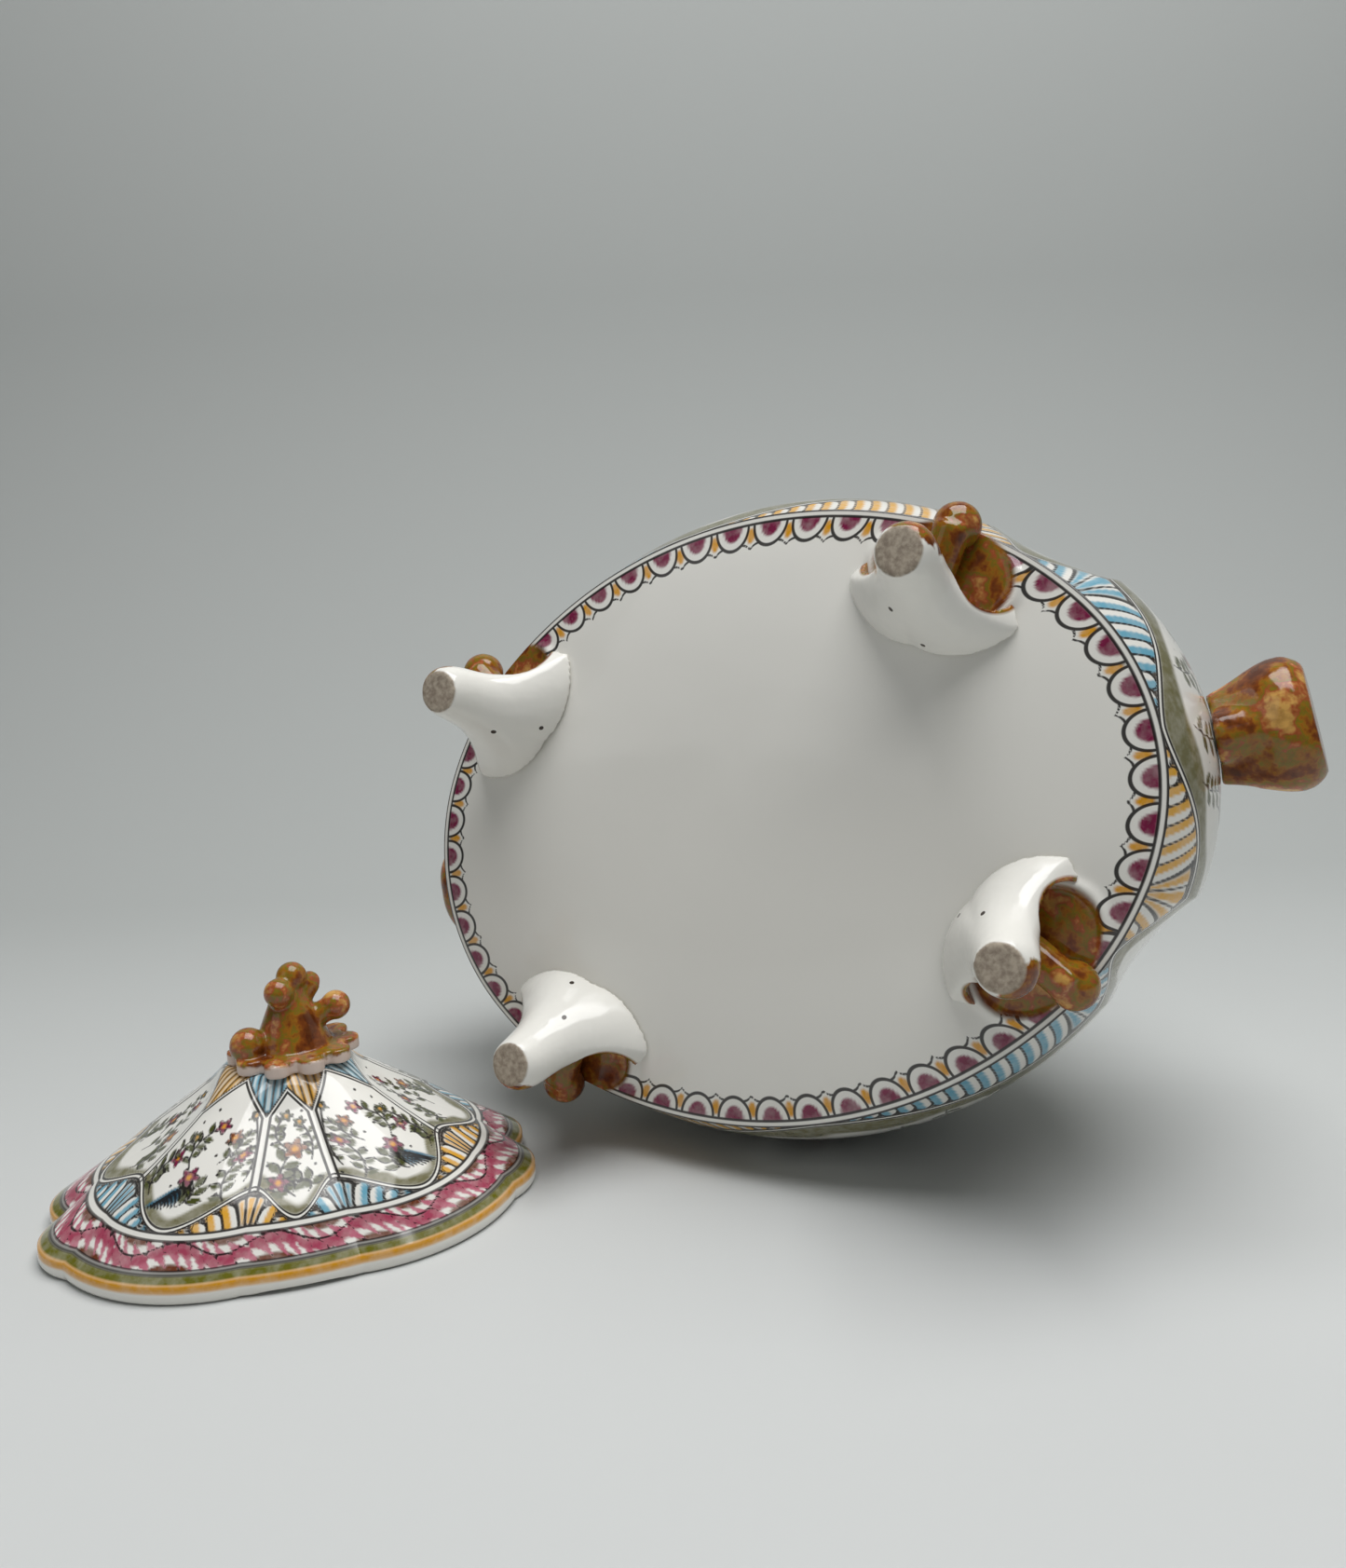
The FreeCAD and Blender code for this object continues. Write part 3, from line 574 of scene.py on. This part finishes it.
# Leaf scroll round the brim: waves, their height, the half width of the ribbon, and the fingers of the leaf.
SCROLL_COUNT = 14
SCROLL_RISE = 2.8
RIBBON_HALF = 2.1
FINGER_PITCH = 4.5
FINGER_SLANT = 0.17
FINGER_REACH = (3.5, 2.9)
SCROLL_HOLLOW = (6.4, 2.7)
SCROLL_HOLLOW_UP = 5.3
RIBBON_INK = 0.34
FINGER_INK = 0.2


def paint_scroll(sheet, up):
    # A running leaf scroll in rose on white, with brown in the hollows of its waves.
    row = np.argmin(np.abs(up[:, 0] - BAND_MIDDLE))
    lengths = np.array([sheet.width[row, sheet.arc == i][0] for i in range(len(LID_ARCS))])
    before = np.concatenate([[0.0], np.cumsum(lengths)])[:-1]
    place = (before[sheet.arc] + sheet.share[row] * lengths[sheet.arc]) / lengths.sum() * SCROLL_COUNT
    pitch = lengths.sum() / SCROLL_COUNT
    height = up - BAND_MIDDLE
    wave = SCROLL_RISE * np.sin(2.0 * np.pi * place)
    inside = np.abs(height) - 0.5 * (BAND[1] - BAND[0])
    side = np.sign(height - wave)
    off_wave = np.abs(height - wave)
    ribbon = both(off_wave - RIBBON_HALF, inside)
    fingers = np.sin(2.0 * np.pi * (place * pitch / FINGER_PITCH + side * off_wave * FINGER_SLANT))
    leaf = both(off_wave - FINGER_REACH[0] - FINGER_REACH[1] * fingers, inside)
    sheet.fill(leaf, PINK)
    sheet.fill(both(ribbon, -height * np.sign(wave) - 0.4), ROSE, 1.2)
    hollow_shift = np.where(height > 0.0, 0.75, 0.25)
    off_hollow = ((place - hollow_shift + 0.5) % 1.0 - 0.5) * pitch
    hollow = both(oval(off_hollow, np.abs(height) - SCROLL_HOLLOW_UP, *SCROLL_HOLLOW), -leaf, inside)
    sheet.fill(hollow, BROWN)
    sheet.ink(np.where((inside < 0.0) & (side > 0.0), off_wave - RIBBON_HALF, NOWHERE), RIBBON_INK)
    sheet.ink(np.where(inside < -0.5, leaf, NOWHERE), FINGER_INK)


def paint_sprigs(sheet, up):
    # Flowers on the panels of the dome. The two arcs at each end of the lid make one panel.
    for i, arc in enumerate(LID_ARCS):
        middle_angle = 0.5 * (arc[0] + arc[2]) % 360.0
        chosen = sheet.arc[None, :] == i
        if arc[0] in LID_RIBS and arc[2] in LID_RIBS:
            x = np.where(chosen, sheet.x - sheet.width * 0.5, OTHER_PANEL)
            wide = arc[2] - arc[0] > WIDE_PANEL
            sprigs, spots = (WIDE_SPRIGS, LID_DOTS) if wide else (NARROW_SPRIGS, NARROW_DOTS)
            flip = -1.0 if middle_angle > 290.0 or 90.0 < middle_angle < 150.0 else 1.0
            if wide:
                feather(sheet, flip * x + 12.0, up - 25.0, SLATE, 8, 16.0, 42.0)
        elif arc[0] in LID_RIBS:
            following = sheet.arc[None, :] == (i + 1) % len(LID_ARCS)
            x = np.where(chosen, sheet.x - sheet.width, np.where(following, sheet.x, OTHER_PANEL))
            sprigs, spots, flip = END_SPRIGS, NARROW_DOTS, 1.0
        else:
            continue
        for start, bend, end, shade, size in sprigs:
            sprig(sheet, flip * x, up, start, bend, end, shade, size)
        dots(sheet, flip * x, up, spots)


# Meshes.
MERGE = 1e-6


def shell(name, sheet, place, first, last):
    # The surface of a sheet from one row to another, with its paint kept on the points.
    columns = sheet.x.shape[1]
    rows = last - first
    bm = bmesh.new()
    bmesh.ops.create_grid(bm, x_segments=columns, y_segments=rows, size=1.0)
    fill = bm.verts.layers.float_color.new("glaze_fill")
    line = bm.verts.layers.float.new("line_gap")
    sponged = bm.verts.layers.float.new("sponged")
    stripe_gap = bm.verts.layers.float.new("stripe_gap")
    edge_gap = bm.verts.layers.float.new("edge_gap")
    for vert in bm.verts:
        column = round((vert.co.x + 1.0) * 0.5 * columns) % columns
        row = first + round((vert.co.y + 1.0) * 0.5 * rows)
        vert[fill] = (*sheet.colour[row, column], 1.0)
        vert[line] = sheet.line[row, column]
        vert[sponged] = sheet.sponged[row, column]
        vert[stripe_gap] = sheet.stripe[row, column]
        vert[edge_gap] = sheet.edge[row, column]
        vert.co = place @ (Vector(sheet.points[row, column]) * MM)
    bmesh.ops.remove_doubles(bm, verts=bm.verts, dist=MERGE)
    bmesh.ops.recalc_face_normals(bm, faces=bm.faces)
    for face in bm.faces:
        face.smooth = True
    return finished(name, bm)


def finished(name, bm):
    mesh = bpy.data.meshes.new(name)
    bm.to_mesh(mesh)
    bm.free()
    thing = bpy.data.objects.new(name, mesh)
    bpy.context.scene.collection.objects.link(thing)
    return thing


def softened(name, node, voxel, passes):
    # A hand-luted piece: the solid of the CAD node with its inner corners run together by the glaze.
    bm = bmesh.new()
    bm.from_mesh(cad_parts[node].data)
    bmesh.ops.remove_doubles(bm, verts=bm.verts, dist=MERGE)
    bmesh.ops.recalc_face_normals(bm, faces=bm.faces)
    thing = finished(name, bm)
    remesh = thing.modifiers.new("Even skin", "REMESH")
    remesh.mode = "VOXEL"
    remesh.voxel_size = voxel
    remesh.use_smooth_shade = True
    smooth = thing.modifiers.new("Glaze run", "SMOOTH")
    smooth.factor = 0.5
    smooth.iterations = passes
    return thing


# Materials.
GLAZE_IOR = 1.5


def add(tree, kind, inputs=None, out=0, **settings):
    # A node with its settings and links. Gives the chosen output.
    node = tree.nodes.new(kind)
    for name, value in settings.items():
        setattr(node, name, value)
    for socket, value in (inputs or {}).items():
        if isinstance(value, bpy.types.NodeSocket):
            tree.links.new(value, node.inputs[socket])
        else:
            node.inputs[socket].default_value = value
    return node.outputs[out] if node.outputs else None


def fresh(name):
    material = bpy.data.materials.new(name)
    material.use_nodes = True
    tree = material.node_tree
    tree.nodes.clear()
    return material, tree, add(tree, "ShaderNodeTexCoord", out="Object")


def grain(coords, size_mm, detail=3.0, rough=0.55):
    # Settings of a noise whose blotches are about the given size across.
    return {"Vector": coords, "Scale": 0.5 / (size_mm * MM), "Detail": detail, "Roughness": rough}


def surface(tree, colour, roughness, height=None, depth=0.0):
    # The end of a material: its colour and gloss, with ripples of the given depth in metres.
    inputs = {"Base Color": colour, "Roughness": roughness, "IOR": GLAZE_IOR}
    if height is not None:
        inputs["Normal"] = add(tree, "ShaderNodeBump", {"Height": height, "Strength": 1.0, "Distance": depth})
    add(tree, "ShaderNodeOutputMaterial", {"Surface": add(tree, "ShaderNodeBsdfPrincipled", inputs)})


# Tin glaze with brushed paint: a thick white gloss, thin uneven colour and firm dark outlines.
def painted_glaze():
    material, tree, coords = fresh("Tin-glazed earthenware, hand painted")
    fill = add(tree, "ShaderNodeAttribute", out="Color", attribute_name="glaze_fill")
    gap, outline, stripe, dabbed = (add(tree, "ShaderNodeAttribute", out="Fac", attribute_name=name)
                                    for name in ("line_gap", "edge_gap", "stripe_gap", "sponged"))
    brush = add(tree, "ShaderNodeTexNoise", grain(coords, 2.2), "Fac")
    thin = add(tree, "ShaderNodeMapRange", {0: brush, 1: 0.4, 2: 0.7, 3: 0.0, 4: 0.2})
    washed = add(tree, "ShaderNodeMix", {0: thin, 6: fill, 7: rgba(WHITE)}, 2, data_type="RGBA")
    line = add(tree, "ShaderNodeMapRange", {0: gap, 1: -0.12, 2: 0.22, 3: 0.95, 4: 0.0})
    from_middle = add(tree, "ShaderNodeMath", {0: stripe, 1: 1.0}, operation="SUBTRACT")
    from_middle = add(tree, "ShaderNodeMath", {0: from_middle}, operation="ABSOLUTE")
    from_line = add(tree, "ShaderNodeMath", {0: from_middle, 1: 1.0}, operation="SUBTRACT")
    for edge in (outline, from_line):
        edge = add(tree, "ShaderNodeMath", {0: edge}, operation="ABSOLUTE")
        firm = add(tree, "ShaderNodeMapRange", {0: edge, 1: 0.36, 2: 0.6, 3: 0.95, 4: 0.0})
        line = add(tree, "ShaderNodeMath", {0: line, 1: firm}, operation="MAXIMUM")
    inked = add(tree, "ShaderNodeMix", {0: line, 6: washed, 7: rgba(INK)}, 2, data_type="RGBA")
    glazed = add(tree, "ShaderNodeMix", {0: dabbed, 6: inked, 7: sponge(tree, coords)}, 2, data_type="RGBA")
    ripple = add(tree, "ShaderNodeTexNoise", grain(coords, 16.0, 1.0), "Fac")
    surface(tree, glazed, 0.09, ripple, 0.0003)
    return material


def sponge(tree, coords):
    # Rust brown dabbed with ochre, olive and pink.
    blotch = add(tree, "ShaderNodeTexNoise", grain(coords, 6.5, 4.0, 0.62), "Fac")
    mottle = add(tree, "ShaderNodeValToRGB", {"Fac": blotch}, "Color")
    ramp = mottle.node.color_ramp
    while len(ramp.elements) < len(SPONGE):
        ramp.elements.new(0.5)
    for element, (place, shade) in zip(ramp.elements, SPONGE):
        element.position = place
        element.color = rgba(shade)
    fine = add(tree, "ShaderNodeTexNoise", grain(coords, 1.3), "Fac")
    fleck = add(tree, "ShaderNodeMapRange", {0: fine, 1: 0.42, 2: 0.7, 3: 0.0, 4: 0.4})
    return add(tree, "ShaderNodeMix", {0: fleck, 6: mottle, 7: rgba(SPONGE_FLECK)}, 2, data_type="RGBA")


# Sponged glaze: a glossy mottle of rust brown, ochre, olive and pink.
def sponged_glaze():
    material, tree, coords = fresh("Glazed earthenware, sponged")
    ripple = add(tree, "ShaderNodeTexNoise", grain(coords, 4.0, 2.0), "Fac")
    surface(tree, sponge(tree, coords), 0.14, ripple, 0.0004)
    return material


# Finial: the same mottle, with a pale scalloped foot where the sponge stopped.
def finial_glaze():
    material, tree, coords = fresh("Glazed earthenware, sponged finial")
    height = add(tree, "ShaderNodeSeparateXYZ", {0: coords}, "Z")
    uneven = add(tree, "ShaderNodeTexNoise", grain(coords, 3.0), "Fac")
    ragged = add(tree, "ShaderNodeMapRange", {0: uneven, 1: 0.3, 2: 0.7, 3: -PALE_RAGGED, 4: PALE_RAGGED})
    level = add(tree, "ShaderNodeMath", {0: height, 1: ragged}, operation="ADD")
    pale = add(tree, "ShaderNodeMapRange", {0: level, 1: PALE_FOOT[0], 2: PALE_FOOT[1]})
    glazed = add(tree, "ShaderNodeMix", {0: pale, 6: sponge(tree, coords), 7: rgba(PALE)}, 2, data_type="RGBA")
    ripple = add(tree, "ShaderNodeTexNoise", grain(coords, 4.0, 2.0), "Fac")
    surface(tree, glazed, 0.14, ripple, 0.0004)
    return material


# Foot: white gloss on the inner flank with dark dots of painted shade for its vent holes, sponged brown on the
# hollow side, and a ground pad of bare clay.
def foot_glaze(name, along, across, heading):
    material, tree, coords = fresh(f"Glazed earthenware, {name.replace('_', ' ')}")
    turn = math.radians(heading)
    root = BOWL_PLACE @ Vector((along * MM, across * MM, 0.0))
    offset = add(tree, "ShaderNodeVectorMath", {0: coords, 1: root}, "Vector", operation="SUBTRACT")
    ways = ((math.cos(turn), math.sin(turn), 0.0), (-math.sin(turn), math.cos(turn), 0.0), (0.0, 0.0, -1.0))
    reach, side, drop = (
        add(tree, "ShaderNodeVectorMath", {0: offset, 1: BOWL_PLACE.to_3x3() @ Vector(way)}, "Value",
            operation="DOT_PRODUCT") for way in ways)
    edge = add(tree, "ShaderNodeMapRange", {0: drop, 1: BROWN_DEPTHS[0], 2: BROWN_DEPTHS[1], 3: BROWN_EDGES[0],
                                            4: BROWN_EDGES[1]})
    uneven = add(tree, "ShaderNodeTexNoise", grain(coords, 4.0), "Fac")
    ragged = add(tree, "ShaderNodeMapRange", {0: uneven, 1: 0.3, 2: 0.7, 3: -BROWN_RAGGED, 4: BROWN_RAGGED})
    limit = add(tree, "ShaderNodeMath", {0: edge, 1: ragged}, operation="ADD")
    past = add(tree, "ShaderNodeMath", {0: reach, 1: limit}, operation="SUBTRACT")
    toe_side = add(tree, "ShaderNodeMapRange", {0: past, 1: -0.0006, 2: 0.0006})
    scoop = add(tree, "ShaderNodeCombineXYZ", {0: reach, 1: side, 2: drop})
    scoop = add(tree, "ShaderNodeVectorMath", {0: scoop, 1: SCOOP_MIDDLE}, "Vector", operation="SUBTRACT")
    scoop = add(tree, "ShaderNodeVectorMath", {0: scoop, 1: SCOOP_HALF}, "Vector", operation="DIVIDE")
    scoop = add(tree, "ShaderNodeVectorMath", {0: scoop}, "Value", operation="LENGTH")
    in_scoop = add(tree, "ShaderNodeMapRange", {0: scoop, 1: 1.09, 2: 1.05})
    brown = add(tree, "ShaderNodeMath", {0: in_scoop, 1: toe_side}, operation="MAXIMUM")
    flank = rgba(WHITE)
    in_plan = add(tree, "ShaderNodeCombineXYZ", {0: side, 1: drop})
    # The vent holes are not cut: a dark dot is painted on the flank as the shade inside each hole.
    for vent in VENT_SHADE_SPOTS:
        away = add(tree, "ShaderNodeVectorMath", {0: in_plan, 1: vent}, "Value", operation="DISTANCE")
        in_vent_shade = add(tree, "ShaderNodeMapRange", {0: away, 1: VENT_SHADE_RADIUS * 1.2, 2: VENT_SHADE_RADIUS})
        flank = add(tree, "ShaderNodeMix", {0: in_vent_shade, 6: flank, 7: rgba(DARK)}, 2, data_type="RGBA")
    glazed = add(tree, "ShaderNodeMix", {0: brown, 6: flank, 7: sponge(tree, coords)}, 2, data_type="RGBA")
    grit = add(tree, "ShaderNodeTexNoise", grain(coords, 0.9, 4.0), "Fac")
    grit = add(tree, "ShaderNodeMapRange", {0: grit, 1: 0.35, 2: 0.65})
    clay = add(tree, "ShaderNodeMix", {0: grit, 6: rgba(CLAY[0]), 7: rgba(CLAY[1])}, 2, data_type="RGBA")
    bare = add(tree, "ShaderNodeMapRange", {0: drop, 1: CLAY_DEPTHS[0], 2: CLAY_DEPTHS[1]})
    rough = add(tree, "ShaderNodeMapRange", {0: bare, 1: 0.0, 2: 1.0, 3: 0.1, 4: 0.8})
    colour = add(tree, "ShaderNodeMix", {0: bare, 6: glazed, 7: clay}, 2, data_type="RGBA")
    ripple = add(tree, "ShaderNodeTexNoise", grain(coords, 5.0, 2.0), "Fac")
    surface(tree, colour, rough, ripple, 0.0003)
    return material


# Matt paper, pale grey: an even dull sheet, with painted shade making it a little darker where it sweeps up.
def paper():
    material, tree, coords = fresh("Matt paper, pale grey")
    depth = add(tree, "ShaderNodeSeparateXYZ", {0: coords}, "Y")
    # Painted shade: the sheet's colour darkens towards the back, where the sweep rises away from the ceiling
    # light.
    back = add(tree, "ShaderNodeMapRange", {0: depth, 1: -0.15, 2: 0.35})
    tone = add(tree, "ShaderNodeMix", {0: back, 6: rgba(PAPER_AND_SWEEP_SHADE[0]), 7: rgba(PAPER_AND_SWEEP_SHADE[1])}, 2, data_type="RGBA")
    surface(tree, tone, 0.85)
    return material


def dress(thing, body, material, slot, *nodes):
    thing.data.materials.clear()
    thing.data.materials.append(material)
    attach(thing, body)
    if nodes:
        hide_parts(*nodes)


# Pieces. The bowl's skin is two shells that meet at the belly.
bowl_rows = flow(UNDERSIDE, UNDERSIDE_ROWS, BOWL_ARCS, bowl_spot)
ring_row = len(bowl_rows) - 1
bowl_rows = bowl_rows[:-1] + flow(WALL, WALL_ROWS, BOWL_ARCS, bowl_spot)
bowl_rows += flow(INSIDE, INSIDE_ROWS, BOWL_ARCS, bowl_spot)
belly_row = ring_row + sum(WALL_ROWS[:LEVELS_TO_BELLY])
bowl_sheet = Sheet(bowl_rows, BOWL_ARCS, ring_row)
paint_bowl(bowl_sheet, ring_row)
bowl = shell("tureen_bowl", bowl_sheet, BOWL_PLACE, 0, belly_row)
shoulder = shell("tureen_shoulder", bowl_sheet, BOWL_PLACE, belly_row, len(bowl_rows) - 1)

lid_rows = flow(LID_OUT, LID_OUT_ROWS, LID_ARCS, lid_spot)
rim_row = len(lid_rows) - 1
lid_rows = lid_rows[:-1] + flow(LID_EDGE, LID_EDGE_ROWS, LID_ARCS, lid_spot)[:-1]
lid_rows += flow(LID_IN, LID_IN_ROWS, LID_ARCS, lid_spot)
for row in lid_rows:
    arch = ARCH_RISE * (1.0 - (row[:, 0] / ARCH_HALF_WIDTH) ** 2)
    row[:, 2] = np.maximum(row[:, 2], arch)
lid_sheet = Sheet(lid_rows, LID_ARCS, rim_row)
paint_lid(lid_sheet, rim_row)
lid = shell("tureen_lid", lid_sheet, LID_PLACE, 0, len(lid_rows) - 1)

paint = painted_glaze()
dress(bowl, "bowl_body", paint, "painted_glaze", "bowl")
dress(shoulder, "bowl_body", paint, "painted_glaze")
dress(lid, "lid_body", paint, "painted_glaze", "lid")
mottled = sponged_glaze()
for name, (along, across, heading) in FEET.items():
    foot = softened(f"scroll_{name}", name, *FOOT_SKIN)
    dress(foot, "bowl_body", foot_glaze(name, along, across, heading), "sponged_glaze", name)
for name in ("handle_right", "handle_left"):
    dress(softened(f"lug_{name}", name, *HANDLE_SKIN), "bowl_body", mottled, "sponged_glaze", name)
finial = softened("branch_finial", "finial", *FINIAL_SKIN)
dress(finial, "lid_body", finial_glaze(), "sponged_glaze", "finial")

# Floor: a pale sheet that sweeps up behind.
FLOOR_WIDTH = 4.0
FLOOR_FRONT = -1.6
FLOOR_BACK = 0.75
SWEEP_HEIGHT = 2.6
SWEEP_RADIUS = 0.45
bm = bmesh.new()
corners = [bm.verts.new(corner) for corner in (
    (-FLOOR_WIDTH, FLOOR_FRONT, 0.0), (FLOOR_WIDTH, FLOOR_FRONT, 0.0),
    (FLOOR_WIDTH, FLOOR_BACK, 0.0), (-FLOOR_WIDTH, FLOOR_BACK, 0.0),
    (FLOOR_WIDTH, FLOOR_BACK, SWEEP_HEIGHT), (-FLOOR_WIDTH, FLOOR_BACK, SWEEP_HEIGHT))]
bm.faces.new(corners[:4])
bm.faces.new((corners[3], corners[2], corners[4], corners[5]))
fold = [edge for edge in bm.edges if len(edge.link_faces) == 2]
bmesh.ops.bevel(bm, geom=fold, offset=SWEEP_RADIUS, affect="EDGES", segments=24, profile=0.5, material=-1)
for face in bm.faces:
    face.smooth = True
floor = finished("floor", bm)
floor.data.materials.append(paper())

# Light: a large soft source above and one to the side, in a dim room.
ROOM_TINT = "#DDE3E6"
ROOM_LIGHT = 0.11
LAMPS = (("Ceiling light", (0.2, -0.2, 1.6), (0.0, -0.2, 0.0), 1.3, 28.0),
         ("Window light", (-1.5, -1.0, 1.0), (0.0, 0.0, 0.1), 1.1, 2.0))
world = bpy.data.worlds.new("Room")
bpy.context.scene.world = world
world.use_nodes = True
room = world.node_tree.nodes["Background"]
room.inputs["Color"].default_value = rgba(ROOM_TINT)
room.inputs["Strength"].default_value = ROOM_LIGHT
for name, place, aim, size, power in LAMPS:
    lamp = bpy.data.lights.new(name, "AREA")
    lamp.size = size
    lamp.energy = power
    light = bpy.data.objects.new(name, lamp)
    light.location = place
    light.rotation_euler = (Vector(aim) - Vector(place)).to_track_quat("-Z", "Y").to_euler()
    bpy.context.scene.collection.objects.link(light)

# Camera: a hand-held view from the front, a little above the bowl.
CAMERA_PLACE = (0.00443, -0.48067, 0.2247)
CAMERA_PITCH = 79.5
CAMERA_ROLL = -2.3
CAMERA_LENS = 34.65
view = bpy.data.cameras.new("Camera")
view.lens = CAMERA_LENS
view.sensor_width = 36.0
view.sensor_fit = "HORIZONTAL"
view.clip_start = 0.01
camera = bpy.data.objects.new("Camera", view)
camera.matrix_world = (Matrix.Translation(CAMERA_PLACE) @ Matrix.Rotation(math.radians(CAMERA_PITCH), 4, "X")
                       @ Matrix.Rotation(math.radians(CAMERA_ROLL), 4, "Z"))
bpy.context.scene.collection.objects.link(camera)
bpy.context.scene.camera = camera
bpy.context.scene.view_settings.view_transform = "Standard"
